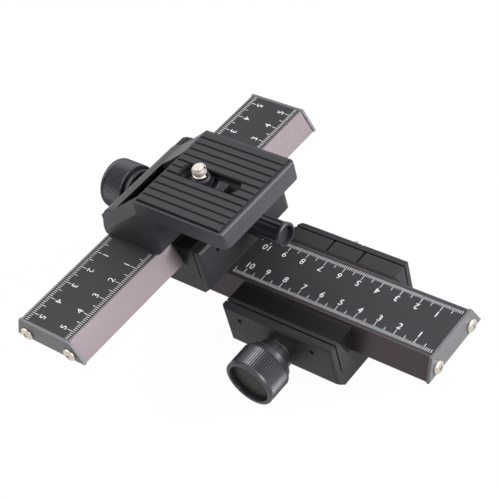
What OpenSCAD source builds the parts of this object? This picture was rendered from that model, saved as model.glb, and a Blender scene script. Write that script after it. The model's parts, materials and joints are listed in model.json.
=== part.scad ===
// Two-axis macro focusing rail, in millimetres, with +Z up.
// The origin is the mouth of the tripod thread, in the middle under the lower carriage.
// The lower rail slides along X. A second carriage stands on its rear end, and the upper
// rail slides in that one along Y and carries the camera platform.
//
// Carriage frame: x runs along the rail, the drive knob is on the -y side, the lock on the
// +y side, and z = 0 is the top of the rail.

/* [Rails] */
// Length of each dovetail rail
rail_length = 158.5; // [154:0.5:166]
// Height of a rail
rail_height = 10.6; // [10.4:0.1:10.8]
// Width of a rail over its top
rail_top = 29; // [28.6:0.1:29.4]
// Width of a rail over its foot
rail_foot = 38.8; // [38.4:0.1:39.2]
// Width of the scale strip let into the top
scale_width = 27; // [26:0.5:27.5]
// Thickness of the scale strip
scale_thick = 0.5; // [0.4:0.1:0.8]
// Thickness of the end caps
cap_thick = 1.4; // [1.2:0.1:2]
// How far an end cap stands out past the rail's flanks
cap_lip = 0.6; // [0.5:0.1:0.8]

/* [Carriages] */
// Side of a carriage block, seen from above
block_side = 59; // [58:0.5:60]
// Height of a carriage block
block_height = 24.6; // [24.4:0.1:25]
// Depth of the block's top under the rail's top
block_drop = 0.6; // [0.5:0.1:0.8]
// How far a block is set off the rail's centre line, towards its gib
block_shift = 1.7; // [1.5:0.1:1.9]
// How far a block's middle lies ahead of its drive axis, along the rail
block_ahead = 0.9; // [0.7:0.1:1.1]
// Chamfer along the block's lower edges
block_chamfer = 4; // [3:0.5:5]
// Side of the foot plate under a block
foot_side = 44; // [42:1:46]
// Height of the foot plate
foot_height = 5.5; // [5:0.1:6]
// Width of the slide strips between jaw and rail
strip_width = 1.75; // [1.5:0.05:1.9]
// Gap on each flank between strip and rail
slide_gap = 0.2; // [0.15:0.05:0.3]
// Gap under the rail
floor_gap = 0.3; // [0.2:0.05:0.4]
// Distance of the saw slits from the block's middle
slit_at = 25.7; // [25.5:0.1:25.9]
// Width of a saw slit
slit_width = 0.7; // [0.5:0.1:0.8]
// Depth of a saw slit
slit_depth = 16; // [14:0.5:17]

/* [Drives] */
// Module of the rack and pinion
gear_module = 0.8; // [0.78:0.01:0.8]
// Teeth on the pinion
pinion_teeth = 13; // [13:1:13]
// Depth of the pinion axis under the rail's top
axis_drop = 14.8; // [14.8:0.05:14.9]
// Diameter of the drive shaft
shaft_d = 5; // [4.6:0.1:5]
// Diameter of a drive knob
knob_d = 24; // [22:0.5:24]
// Length of a drive knob's knurled barrel
knob_length = 13.1; // [12:0.1:14]
// Distance of the barrel from the block's face
knob_out = 8.6; // [8.2:0.1:10]
// Ridges round a drive knob
knob_ridges = 68; // [48:1:90]

/* [Locks] */
// Depth of the lock screws under the rail's top
lock_drop = 6.2; // [5.8:0.1:6.4]
// Diameter of the lock screws
lock_d = 5; // [4.6:0.1:5]
// Diameter of the fluted lock knob
lock_knob_d = 10.4; // [10:0.1:11]
// Length of the fluted lock knob
lock_knob_length = 20.3; // [18:0.1:24]
// Flutes round the lock knob
lock_flutes = 12; // [8:1:14]

/* [Platform] */
// Length of the platform along the upper rail
plat_length = 49.3; // [48:0.1:51]
// Height of the plate's rim over the upper rail
plat_height = 29; // [28.6:0.1:29.4]
// Depth of the skirt round the plate
skirt_height = 7.9; // [7.5:0.1:8.2]
// Width of the slot for the camera screw
slot_width = 8.4; // [8.3:0.1:8.6]
// Length of that slot
slot_length = 31.4; // [30:0.2:32]
// Ribs on the rubber pad
pad_ribs = 12; // [8:1:14]
// Height of the camera screw over the pad
stud_height = 4.6; // [4:0.1:7]

/* [Where things stand] */
// Middle of the upper carriage, along X
upper_x = -62; // [-62:1:-62]
// Drive axis of the upper carriage, along Y
upper_y = -1.8; // [-2:0.1:-1.6]
// Middle of the lower rail, along X
lower_rail_x = -10.75; // [-12:0.25:-10]
// Middle of the upper rail, along Y
upper_rail_y = -16.5; // [-17.5:0.1:-15]
// Middle of the platform, along Y
plat_y = -15.8; // [-17:0.1:-15]
// Place of the camera screw, along X
screw_x = -34.3; // [-34.3:0.1:-19]

/* [Hidden] */
$fn = 64;

over = 0.5;                              // how far a cut runs past the face it opens
deck = foot_height + block_height + block_drop;  // height of a rail's top over its foot
half_block = block_side / 2;
rail_slope = (rail_foot - rail_top) / 2 / rail_height;  // flank lean, across per down
jaw_gap = strip_width + slide_gap;       // from the rail's flank to the jaw
floor_z = -rail_height - floor_gap;      // channel floor
block_bottom = -block_drop - block_height;
black = "#262629";
grey = "#4a484c";
steel = "#c9c6c2";

// ---- small helpers ------------------------------------------------------------------

// Extrude an outline drawn in (y, z) along x, centred
module along_x(length) rotate([90, 0, 90]) linear_extrude(length, center = true) children();

// Extrude an outline drawn in (x, z) along y, centred
module along_y(length) rotate([90, 0, 0]) linear_extrude(length, center = true) children();

// Round bar along y from one place to another
module bar_y(from, to, d) translate([0, from, 0]) rotate([-90, 0, 0]) cylinder(h = to - from, d = d);

// Solid of revolution about y, drawn as [radius, y] points
module turned_y(points) rotate([-90, 0, 0]) rotate_extrude() polygon(points);

// Rectangle in plan with round corners, made of squares and circles
module rounded_plan(size, r) {
    square([size.x - 2 * r, size.y], center = true);
    square([size.x, size.y - 2 * r], center = true);
    for (x = [-1, 1], y = [-1, 1])
        translate([x * (size.x / 2 - r), y * (size.y / 2 - r)]) circle(r);
}

// Slot outline along x with half-round ends
module slot_plan(length, width) {
    square([length - width, width], center = true);
    for (x = [-1, 1]) translate([x * (length - width) / 2, 0]) circle(d = width);
}

module on_lower() translate([0, 0, deck]) children();
module on_upper() translate([upper_x, upper_y, 2 * deck]) rotate([0, 0, -90]) children();
module on_platform() translate([upper_x, plat_y, 2 * deck]) children();

// From the rail's centre line to the block's middle, for what is placed from its faces
module in_block(gib_side) translate([0, gib_side * block_shift, 0]) children();

// Half width of the rail at height z (0 at its top, negative below)
function flank(z) = rail_top / 2 - z * rail_slope;

// ---- rails --------------------------------------------------------------------------

rack_half = 4;                           // half width of the rack
cap_screw_y = 12.7;
cap_screw_z = -7.3;
cap_screw_d = 3;
cap_screw_depth = 9;
m4 = 4;
m4_clear = 4.2;
bolt_depth = 8;
upper_foot_bolts = [for (x = [-9, 9], y = [-14, 14]) [x, y]];       // in the upper frame
lower_rail_bolts = [for (p = upper_foot_bolts) [upper_x + p.y, upper_y - p.x]];  // in the lower frame
plat_bolts = [for (x = [-9, 9], y = [-15.2, 3.8]) [x, y]];           // in the platform frame
upper_rail_bolts = [for (p = plat_bolts) [upper_y - plat_y - p.y, p.x]];
upper_rail_x = upper_y - upper_rail_y;   // middle of the upper rail in the upper frame

module rail_outline(lip = 0) {
    polygon([[-flank(0) - lip, 0], [flank(0) + lip, 0],
             [flank(-rail_height) + lip, -rail_height], [-flank(-rail_height) - lip, -rail_height]]);
}

module rail(centre, bolts) {
    difference() {
        translate([centre, 0, 0]) along_x(rail_length) rail_outline();
        translate([centre, 0, 0]) along_x(rail_length + over)
            translate([-scale_width / 2, -scale_thick]) square([scale_width, scale_thick + over]);
        translate([centre, 0, 0]) along_x(rail_length + over)
            translate([-rack_half, -rail_height - over]) square([2 * rack_half, over + 4]);
        for (end = [-1, 1], y = [-cap_screw_y, cap_screw_y])
            translate([centre + end * rail_length / 2, y, cap_screw_z]) rotate([0, -90 * end, 0])
                translate([0, 0, -over]) cylinder(h = cap_screw_depth + over, d = cap_screw_d);
        for (p = bolts) translate([p.x, p.y, -bolt_depth]) cylinder(h = bolt_depth + over, d = m4);
    }
}

module scale_strip(centre, bolts) {
    difference() {
        translate([centre, 0, 0]) along_x(rail_length)
            translate([-scale_width / 2, -scale_thick]) square([scale_width, scale_thick]);
        for (p = bolts) translate([p.x, p.y, -1]) cylinder(h = 2, d = m4_clear);
    }
}

module cap(centre, end) {
    translate([centre + end * (rail_length + cap_thick) / 2, 0, 0]) difference() {
        along_x(cap_thick) rail_outline(cap_lip);
        for (y = [-cap_screw_y, cap_screw_y]) translate([-cap_thick, y, cap_screw_z])
            rotate([0, 90, 0]) cylinder(h = 2 * cap_thick, d = cap_screw_d + 0.2);
    }
}

// Pan-head screw along -z with a cross recess, its head on z = 0
module cap_screw() {
    difference() {
        union() {
            rotate_extrude() polygon([[0, 0], [3.1, 0], [3.1, 0.8], [2.7, 1.3], [1.7, 1.6], [0, 1.7]]);
            translate([0, 0, -8 - cap_thick]) cylinder(h = 8 + cap_thick, d = cap_screw_d);
        }
        for (a = [45, 135]) rotate(a) translate([-1.3, -0.25, 0.9]) cube([2.6, 0.5, 2]);
    }
}

module cap_screws(centre) {
    for (end = [-1, 1], y = [-cap_screw_y, cap_screw_y])
        translate([centre + end * (rail_length / 2 + cap_thick), y, cap_screw_z])
            rotate([0, 90 * end, 0]) cap_screw();
}

// ---- rack and pinion ----------------------------------------------------------------
// Both have straight teeth of a 25 degree pressure angle, at which a pinion of 13 teeth
// isn't undercut. The tooth stands straight up at rest, in a gap of the rack.

pressure = 25;
pitch = PI * gear_module;
pitch_r = pinion_teeth * gear_module / 2;
base_r = pitch_r * cos(pressure);
pinion_tip_r = pitch_r + 0.9 * gear_module;
pinion_root_r = pitch_r - 1.2 * gear_module;
backlash = 0.04;                         // taken off each flank, on rack and pinion
rack_pitch_z = pitch_r - axis_drop;
rack_tip_z = rack_pitch_z - gear_module;
rack_root_z = rack_pitch_z + 1.25 * gear_module;
pinion_half = 3.6;                       // half width of the pinion's face

// Involute function in degrees, at the radius r
function inv_at(r) = let (a = acos(base_r / r)) tan(a) * 180 / PI - a;
// Half the angle that a tooth fills at the radius r
function tooth_half(r) = (pitch / 4 - backlash) / pitch_r * 180 / PI + inv_at(pitch_r) - inv_at(max(r, base_r));
flank_r = [pinion_root_r, base_r, (base_r + pitch_r) / 2, pitch_r, (pitch_r + pinion_tip_r) / 2, pinion_tip_r];

module pinion() {
    points = [for (t = [0:pinion_teeth - 1], side = [1, -1], i = [0:5])
        let (r = flank_r[side > 0 ? i : 5 - i],
             a = 90 - t * 360 / pinion_teeth + side * tooth_half(r)) [r * cos(a), r * sin(a)]];
    translate([0, 0, -axis_drop]) along_y(2 * pinion_half) difference() {
        polygon(points);
        circle(d = shaft_d + 0.04);
    }
}

module rack(centre) {
    first = ceil((centre - rail_length / 2 + 3) / pitch);
    last = floor((centre + rail_length / 2 - 3) / pitch) - 1;
    slope = tan(pressure);
    tip = pitch / 4 - backlash - (rack_pitch_z - rack_tip_z) * slope;
    root = pitch / 4 - backlash + (rack_root_z - rack_pitch_z) * slope;
    teeth = [for (k = [first:last]) let (c = (k + 0.5) * pitch)
        each [[c - root, rack_root_z], [c - tip, rack_tip_z], [c + tip, rack_tip_z], [c + root, rack_root_z]]];
    groove_top = 4 - rail_height;
    along_y(2 * rack_half) polygon(concat(
        [[(last + 1) * pitch, rack_root_z], [(last + 1) * pitch, groove_top],
         [first * pitch, groove_top], [first * pitch, rack_root_z]], teeth));
}

// ---- carriage block and what is fitted in it ----------------------------------------

gib_outer_top = 25.2;                    // outer edge of the gib's top
gib_outer_foot = flank(-rail_height) + jaw_gap + 0.3;
gib_screw_x = 19.6;
gib_screw_z = -6.2;
gib_screw_d = 3;
gib_screw_tip = 24;
bush_d = 9.2;
bush_depth = 5.8;
shaft_run = 0.1;                         // running play on the shaft's diameter
shaft_tail = 12;                         // end of the shaft past the block's middle
collar_out = 2;                          // how far a lock's collar stands out
well_r = pinion_tip_r + 0.4;
foot_screws = [for (x = [-15, 15], y = [-15, 15]) [x, y]];
lower_lock_x = 1.8;
upper_lock_tip = 24.3;                   // end of the upper lock's stud, clear of the gib
upper_lock_from = 23;                    // inner end of its hole, at the gib
jaw_cut_from = 14;                       // inner end of the cuts in the flexing jaw

// Section of the gib bar, on the side y > 0
module gib_outline() {
    polygon([[flank(-block_drop) + jaw_gap, -block_drop], [gib_outer_top, -block_drop],
             [gib_outer_foot, -rail_height], [flank(-rail_height) + jaw_gap, -rail_height]]);
}

module block_outline(gib_side) {
    middle = gib_side * block_shift;
    difference() {
        translate([middle, 0])
            polygon([[-half_block, block_bottom + block_chamfer], [-half_block, -block_drop - 1],
                     [-half_block + 1, -block_drop], [half_block - 1, -block_drop],
                     [half_block, -block_drop - 1], [half_block, block_bottom + block_chamfer],
                     [half_block - block_chamfer, block_bottom], [block_chamfer - half_block, block_bottom]]);
        polygon([[-flank(over) - jaw_gap, over], [flank(over) + jaw_gap, over],
                 [flank(floor_z) + jaw_gap, floor_z], [-flank(floor_z) - jaw_gap, floor_z]]);
        for (side = [-1, 1]) translate([middle + side * slit_at - slit_width / 2, -block_drop - slit_depth])
            square([slit_width, slit_depth + over]);
        // seat of the gib bar, open towards the channel
        scale([gib_side, 1]) polygon([[0, over], [gib_outer_top, over], [gib_outer_top, -block_drop],
                                      [gib_outer_foot, -rail_height], [0, -rail_height]]);
    }
}

// gib_side is the side with the gib, slots are cuts in the other jaw, lock_x is the lock's
// place and lock_from the inner end of its hole
module block(gib_side, slots, lock_x, lock_from) {
    jaw_cut = slit_at - block_shift - jaw_cut_from;  // a cut ends in the saw slit
    difference() {
        translate([block_ahead, 0, 0]) intersection() {
            along_x(block_side) block_outline(gib_side);
            in_block(gib_side) translate([0, 0, block_bottom]) linear_extrude(block_height)
                rounded_plan([block_side, block_side], 1.6);
        }
        // pinion well, shaft bore and the seat of its bush
        translate([0, 0, -axis_drop]) {
            bar_y(-pinion_half - 0.5, pinion_half + 0.5, 2 * well_r);
            translate([-well_r, -pinion_half - 0.5, 0])
                cube([2 * well_r, 2 * pinion_half + 1, axis_drop + floor_z + over]);
            in_block(gib_side) {
                bar_y(-half_block - over, 0, shaft_d + 0.4);
                bar_y(0, shaft_tail + 1, shaft_d + shaft_run);
                bar_y(-half_block - over, -half_block + bush_depth, bush_d);
            }
        }
        // lock screw and the two gib screws
        in_block(gib_side) translate([lock_x, 0, -lock_drop])
            bar_y(lock_from, half_block + over, lock_d + shaft_run);
        for (x = [-gib_screw_x, gib_screw_x]) translate([x, 0, gib_screw_z])
            scale([1, gib_side, 1]) bar_y(21, half_block + block_shift + over, gib_screw_d);
        for (x = slots) translate([x, -gib_side * (jaw_cut_from + jaw_cut / 2), 0])
            linear_extrude(2 * (rail_height + floor_gap), center = true) square([1.2, jaw_cut], center = true);
    }
}

module gib(gib_side) {
    translate([block_ahead, 0, 0]) scale([1, gib_side, 1]) along_x(block_side - 0.4) gib_outline();
}

module slide_strips() {
    for (side = [-1, 1]) translate([block_ahead, 0, 0]) scale([1, side, 1]) along_x(block_side - 0.4)
        polygon([[flank(-block_drop) + slide_gap, -block_drop], [flank(-block_drop) + jaw_gap, -block_drop],
                 [flank(floor_z) + jaw_gap, floor_z], [flank(floor_z) + slide_gap, floor_z]]);
}

// Socket set screws that press the gib, in the carriage's wall
module gib_screws(gib_side) {
    for (x = [-gib_screw_x, gib_screw_x]) translate([x, 0, gib_screw_z]) scale([1, gib_side, 1])
        difference() {
            bar_y(gib_screw_tip, half_block + block_shift - 0.1, gib_screw_d);
            translate([0, half_block + block_shift + over, 0]) rotate([90, 0, 0])
                cylinder(h = 2.4, d = 1.7, $fn = 6);
        }
}

module foot(holes, hole_d, thread_d, sunk) {
    translate([0, 0, block_bottom - foot_height]) difference() {
        linear_extrude(foot_height) rounded_plan([foot_side, foot_side], 4);
        if (thread_d > 0) translate([0, 0, -over]) cylinder(h = foot_height + 2 * over, d = thread_d);
        for (p = holes) translate([p.x, p.y, -over]) {
            cylinder(h = foot_height + 2 * over, d = hole_d);
            if (sunk) cylinder(h = over + 2.5, r1 = 4.3 + over, r2 = 1.8);
        }
    }
}

// Countersunk screw along +z, its head's face on z = 0
module sunk_screw(length) {
    difference() {
        rotate_extrude() polygon([[0, 0], [3.9, 0], [m4 / 2, 1.9], [m4 / 2, length], [0, length]]);
        translate([0, 0, -1]) cylinder(h = 2.6, d = 2.8, $fn = 6);
    }
}

module bush() {
    translate([0, 0, -axis_drop]) difference() {
        union() {
            bar_y(-half_block, -half_block + bush_depth, bush_d);
            bar_y(-half_block - 1.5, -half_block, 12);
        }
        bar_y(-half_block - 2, -half_block + bush_depth + 1, shaft_d + shaft_run);
    }
}

module lock_collar(lock_x, d) {
    translate([lock_x, 0, -lock_drop]) difference() {
        bar_y(half_block, half_block + collar_out, d);
        bar_y(half_block - 1, half_block + collar_out + 1, lock_d + shaft_run);
    }
}

// ---- drive: shaft, knob, its disc and grub screw ------------------------------------

knob_back = -half_block - 1.7;           // hub starts here, clear of the bush
barrel_back = -half_block - knob_out;
knob_front = barrel_back - knob_length;
cup_depth = 3;
cup_d = 20;
disc_thick = 0.6;
grub_y = knob_back - 2.2;
grub_d = 3;
hub_d = 16;

module drive_shaft() {
    translate([0, 0, -axis_drop]) difference() {
        bar_y(knob_front + cup_depth + 3, shaft_tail, shaft_d);
        translate([-shaft_d, grub_y - 2, shaft_d / 2 - 0.4]) cube([2 * shaft_d, 4, shaft_d]);
    }
}

function ridge_points(count, r, depth) = [for (i = [0:2 * count - 1])
    let (a = i * 180 / count, q = r - (i % 2) * depth) [q * cos(a), q * sin(a)]];

module drive_knob() {
    r = knob_d / 2;
    core = r - 1.2;                      // under the ridges
    translate([0, 0, -axis_drop]) difference() {
        union() {
            turned_y([[0, knob_back], [hub_d / 2, knob_back], [hub_d / 2, knob_back - 4],
                      [10.3, knob_back - 4.4], [10.3, barrel_back], [r - 0.6, barrel_back],
                      [r, barrel_back - 0.6], [r, barrel_back - 1], [core, barrel_back - 1],
                      [core, knob_front + 1.4], [r, knob_front + 1.4], [r, knob_front + 0.5],
                      [r - 0.5, knob_front], [0, knob_front]]);
            translate([0, (barrel_back + knob_front + 0.4) / 2, 0]) along_y(knob_length - 2)
                polygon(ridge_points(knob_ridges, r - 0.05, 0.45));
        }
        bar_y(knob_front - over, knob_front + cup_depth, cup_d);
        bar_y(knob_front + cup_depth + 3, knob_back + 1, shaft_d + 0.04);
        translate([0, grub_y, 0]) cylinder(h = hub_d, d = grub_d);
    }
}

module knob_disc() {
    translate([0, 0, -axis_drop])
        bar_y(knob_front + cup_depth - disc_thick, knob_front + cup_depth, cup_d - 0.2);
}

module knob_grub() {
    translate([0, grub_y, -axis_drop]) difference() {
        translate([0, 0, shaft_d / 2 - 0.4]) cylinder(h = hub_d / 2 - shaft_d / 2 - 0.1, d = grub_d);
        translate([0, 0, hub_d / 2 - 2]) cylinder(h = 3, d = 1.7, $fn = 6);
    }
}

// ---- locks --------------------------------------------------------------------------

// Set screw that presses the flexing jaw, its end level with the collar
module lower_lock() {
    translate([lower_lock_x, 0, -lock_drop]) difference() {
        bar_y(slit_at - slit_width / 2 + 0.1, half_block + collar_out, lock_d);
        translate([0, half_block + collar_out + over, 0]) rotate([90, 0, 0])
            cylinder(h = 3, d = 2.9, $fn = 6);
    }
}

lock_knob_back = half_block + collar_out + 0.2;
lock_knob_front = lock_knob_back + lock_knob_length;
lock_stud_end = lock_knob_front - 5;

module upper_lock_rod() {
    translate([0, 0, -lock_drop]) bar_y(upper_lock_tip - block_shift, lock_stud_end, lock_d);
}

module lock_knob() {
    r = lock_knob_d / 2;
    translate([0, 0, -lock_drop]) difference() {
        turned_y([[0, lock_knob_back], [r - 0.5, lock_knob_back], [r, lock_knob_back + 0.5],
                  [r, lock_knob_front - 2.1], [r + 0.4, lock_knob_front - 1.8],
                  [r + 0.4, lock_knob_front - 0.4], [r, lock_knob_front], [0, lock_knob_front]]);
        for (i = [0:lock_flutes - 1]) rotate([0, (i + 0.5) * 360 / lock_flutes, 0])
            translate([0, 0, r + 0.35]) bar_y(lock_knob_back - 1, lock_knob_front - 2.2, 1.9);
        bar_y(lock_knob_front - 2.6, lock_knob_front + 1, 8.4);
        bar_y(lock_knob_back - 1, lock_stud_end, lock_d + 0.04);
    }
}

// ---- platform -----------------------------------------------------------------------
// Drawn in (u, v): u is across the upper rail from its middle, v is height over its top.

plate_left = 10.4;
plate_right = 58.5;
skirt_flare = 1;
foot_left = -18.3;
foot_right = 15.5;
rim_at = [-9.5, 13.6];                   // top of the rounded left wall
wall = 2.2;
plate_floor = plat_height - 1;           // what the pad lies on
plate_under = plate_floor - 2.8;
skirt_foot = plat_height - skirt_height;
column_face = 18;
gusset = 3.4;                            // thickness of the near gusset
far_web = 14.9;                          // width of the far gusset's roof
base = 4;                                // thickness of the platform's foot
rim = 1;                                 // rim round the pad
left_rim = 0.8;                          // the same on the side of the gussets

// Quadratic curve through the control points a, b, c
function bend(a, b, c, n = 6) =
    [for (i = [0:n]) let (t = i / n) (1 - t) * (1 - t) * a + 2 * t * (1 - t) * b + t * t * c];

left_curve = bend([foot_left, 5], [foot_left + 0.3, 11.5], rim_at);
corner_curve = bend([column_face + 0.5, skirt_foot - 3], [column_face + 0.6, skirt_foot],
                    [column_face + 3.6, skirt_foot], 4);
roof_curve = bend([rim_at.x + 0.3, rim_at.y + 0.5], [0.5, 20.6], [plate_left, plat_height]);

module platform_outline() {
    polygon(concat([[foot_left, 0]], left_curve,
        [[plate_left, plat_height], [plate_right - 0.5, plat_height], [plate_right, plat_height - 0.6],
         [plate_right + skirt_flare, skirt_foot]],
        [for (i = [len(corner_curve) - 1:-1:0]) corner_curve[i]],
        [[column_face, 2.5], [foot_right, 0]]));
}

// Open pocket between the gussets
module pocket_outline() {
    polygon([[foot_left + 3.4, base], [foot_left + 3.4, 6.2], [foot_left + 5.5, 10],
             [rim_at.x + 1.6, 12.8], [rim_at.x + 1.6, 40], [plate_left, 40],
             [plate_left, plate_under], [14.3, plate_under], [14.3, base]]);
}

// The hollow under the far gusset's roof
module roofed_outline() {
    lowered = [for (p = roof_curve) [p.x + 1.2, p.y - 3.4]];
    polygon(concat([[foot_left + 3.4, base], [foot_left + 3.4, 6.2]], lowered, [[14.3, plate_under], [14.3, base]]));
}

module platform() {
    half = plat_length / 2;
    mid_u = (foot_left + plate_right + skirt_flare) / 2;
    across = plate_right + skirt_flare - foot_left;
    rise = atan2(plat_height - rim_at.y, plate_left - rim_at.x);
    on_platform() difference() {
        intersection() {
            along_y(plat_length) platform_outline();
            translate([mid_u, 0, -over]) linear_extrude(plat_height + 2 * over)
                rounded_plan([across, plat_length], 3.5);
        }
        // pocket, then the hollow under the roof of the far gusset
        translate([0, (gusset - far_web) / 2, 0]) along_y(plat_length - gusset - far_web) pocket_outline();
        translate([0, half - far_web / 2 - wall / 2 - 0.5, 0]) along_y(far_web - wall + 1) roofed_outline();
        // hollow roof line of the far gusset
        translate([0, half - far_web / 2 + over, 0]) along_y(far_web + 2 * over)
            polygon(concat([[rim_at.x + 0.3, 40]], roof_curve, [[plate_left, 40]]));
        // bevel along the near gusset
        intersection() {
            translate([rim_at.x, -half, rim_at.y]) rotate([0, -rise, 0]) along_x(80)
                polygon([[-1, 2], [gusset, 2], [gusset, 0], [0, -5.6], [-1, -5.6]]);
            translate([foot_left - 1, -half - 2, 0]) cube([plate_left - foot_left + 1, 10, 60]);
        }
        // seat of the pad, and the open space in the skirt
        translate([plate_left + left_rim, -half + rim, plate_floor])
            cube([plate_right - 0.8 - rim - plate_left - left_rim, plat_length - 2 * rim, 3]);
        translate([(column_face + 1 + plate_right - wall + 0.5) / 2, 0, skirt_foot - 2])
            linear_extrude(plate_under - skirt_foot + 2)
            rounded_plan([plate_right - wall - 0.5 - column_face, plat_length - 2 * wall], 2);
        // slot for the camera screw, with a wider step for its clip
        translate([slot_mid, 0, skirt_foot]) linear_extrude(12) slot_plan(slot_length, slot_width);
        translate([slot_mid, 0, plate_floor - 1.2]) linear_extrude(3)
            slot_plan(slot_length + 3.2, slot_width + 3.2);
        for (p = plat_bolts) translate([p.x, p.y, -over]) cylinder(h = base + 2 * over, d = m4_clear);
    }
}

slot_mid = -29.1 - upper_x;

// Cap screws that hold the platform to the rail
module platform_bolts() {
    for (p = plat_bolts) translate([p.x, p.y, 0]) difference() {
        union() {
            translate([0, 0, 0.5 - bolt_depth]) cylinder(h = base + bolt_depth, d = m4);
            translate([0, 0, base]) cylinder(h = 3.8, d = 7);
        }
        translate([0, 0, base + 1.8]) cylinder(h = 3, d = 3.4, $fn = 6);
    }
}

pad_gap = 0.5;
pad_left = plate_left + left_rim + pad_gap;
pad_right = plate_right - 0.8 - rim - pad_gap;
pad_half = plat_length / 2 - rim - pad_gap;
pad_base = 1.1;
pad_top = plate_floor + 2;

module pad() {
    rib = 2 * pad_half / pad_ribs;
    top = pad_top - plate_floor;
    ribs = [for (i = [0:pad_ribs - 1]) let (y = -pad_half + i * rib)
        each [[y + (i > 0 ? 0.35 : 0), i > 0 ? pad_base : 0], [y + (i > 0 ? 0.6 : 0.2), top],
              [y + rib - (i < pad_ribs - 1 ? 0.6 : 0.2), top],
              [y + rib - (i < pad_ribs - 1 ? 0.35 : 0), i < pad_ribs - 1 ? pad_base : 0]]];
    translate([0, 0, plate_floor]) difference() {
        translate([(pad_left + pad_right) / 2, 0, 0]) along_x(pad_right - pad_left) polygon(ribs);
        translate([slot_mid, 0, -1]) linear_extrude(5) slot_plan(slot_length, slot_width);
    }
}

// ---- camera screw, its carrier in the slot, clip and wheel --------------------------

quarter_inch = 6.35;
shank_d = 5.6;                           // plain shank, relieved under the thread's core
carrier_bore = 2.85;                     // radius; the thread is screwed through the tapped carrier once
carrier_d = 8.2;
neck_d = 7.5;
clip_low = plate_floor - 1.1;
clip_high = plate_floor - 0.2;
carrier_low = plate_under - 1.3;
carrier_high = plate_floor + 1.2;
wheel_low = 8;
wheel_high = 15;
wheel_d = 16.4;
wheel_notches = 24;
stud_top = pad_top + stud_height;

module at_screw() translate([screw_x - upper_x, 0, 0]) children();

module screw_carrier() {
    at_screw() rotate_extrude() polygon([[carrier_bore, carrier_low], [6.5, carrier_low], [6.5, plate_under - 0.15],
        [carrier_d / 2, plate_under - 0.15], [carrier_d / 2, clip_low], [neck_d / 2, clip_low],
        [neck_d / 2, clip_high], [carrier_d / 2, clip_high], [carrier_d / 2, carrier_high - 0.4],
        [carrier_d / 2 - 0.4, carrier_high], [carrier_bore, carrier_high]]);
}

module carrier_clip() {
    at_screw() rotate_extrude() polygon([[neck_d / 2 + 0.05, clip_low + 0.05], [5.4, clip_low + 0.05],
        [5.4, clip_high - 0.05], [neck_d / 2 + 0.05, clip_high - 0.05]]);
}

module camera_screw() {
    at_screw() rotate_extrude() polygon([[0, wheel_low + 1], [shank_d / 2, wheel_low + 1],
        [shank_d / 2, pad_top], [quarter_inch / 2, pad_top], [quarter_inch / 2, stud_top - 0.9],
        [quarter_inch / 2 - 0.9, stud_top], [0, stud_top]]);
}

module screw_wheel() {
    at_screw() difference() {
        rotate_extrude() polygon([[0, wheel_low], [wheel_d / 2 - 0.8, wheel_low],
            [wheel_d / 2, wheel_low + 0.8], [wheel_d / 2, wheel_high - 0.8],
            [wheel_d / 2 - 0.8, wheel_high], [5, wheel_high + 0.5], [5, carrier_low - 0.3],
            [0, carrier_low - 0.3]]);
        translate([0, 0, wheel_low + 1]) cylinder(h = 30, d = shank_d + 0.04);
        for (i = [0:wheel_notches - 1]) rotate(i * 360 / wheel_notches)
            translate([wheel_d / 2 + 0.35, 0, wheel_low - 1]) cylinder(h = wheel_high - wheel_low + 2, d = 1.5);
    }
}

// ---- nodes --------------------------------------------------------------------------

module lower_block() {
    color(black) on_lower() difference() {
        block(-1, [-6.5, 10], lower_lock_x, slit_at);
        translate([0, 0, block_bottom - over]) cylinder(h = over + 2.4, d = 7.2);
        for (p = foot_screws) translate([p.x, p.y, block_bottom - over]) cylinder(h = over + 8, d = m4);
    }
}
module lower_foot() color(black) on_lower() foot(foot_screws, m4_clear, quarter_inch, true);
module lower_foot_screws() color(steel) for (p = foot_screws) translate([p.x, p.y, 0.3]) sunk_screw(12);
module lower_gib() color("#151517") on_lower() gib(-1);
module lower_slide_strips() color(grey) on_lower() slide_strips();
module lower_gib_screws() color(grey) on_lower() gib_screws(-1);
module lower_bush() color(steel) on_lower() in_block(-1) bush();
module lower_lock_collar() color(steel) on_lower() in_block(-1) lock_collar(lower_lock_x, 7);
module lower_shaft() color(steel) on_lower() in_block(-1) drive_shaft();
module lower_pinion() color("#b08d4c") on_lower() pinion();
module lower_knob() color(black) on_lower() in_block(-1) drive_knob();
module lower_knob_disc() color("#514c48") on_lower() in_block(-1) knob_disc();
module lower_knob_grub() color(steel) on_lower() in_block(-1) knob_grub();
module lower_lock_screw() color(black) on_lower() in_block(-1) lower_lock();
module lower_rail() color("#5c5258") on_lower() rail(lower_rail_x, lower_rail_bolts);
module lower_scale() color("#303033") on_lower() scale_strip(lower_rail_x, lower_rail_bolts);
module lower_rack() color("#b08d4c") on_lower() rack(lower_rail_x);
module lower_cap_front() color(grey) on_lower() cap(lower_rail_x, 1);
module lower_cap_rear() color(grey) on_lower() cap(lower_rail_x, -1);
module lower_cap_screws() color(steel) on_lower() cap_screws(lower_rail_x);

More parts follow.
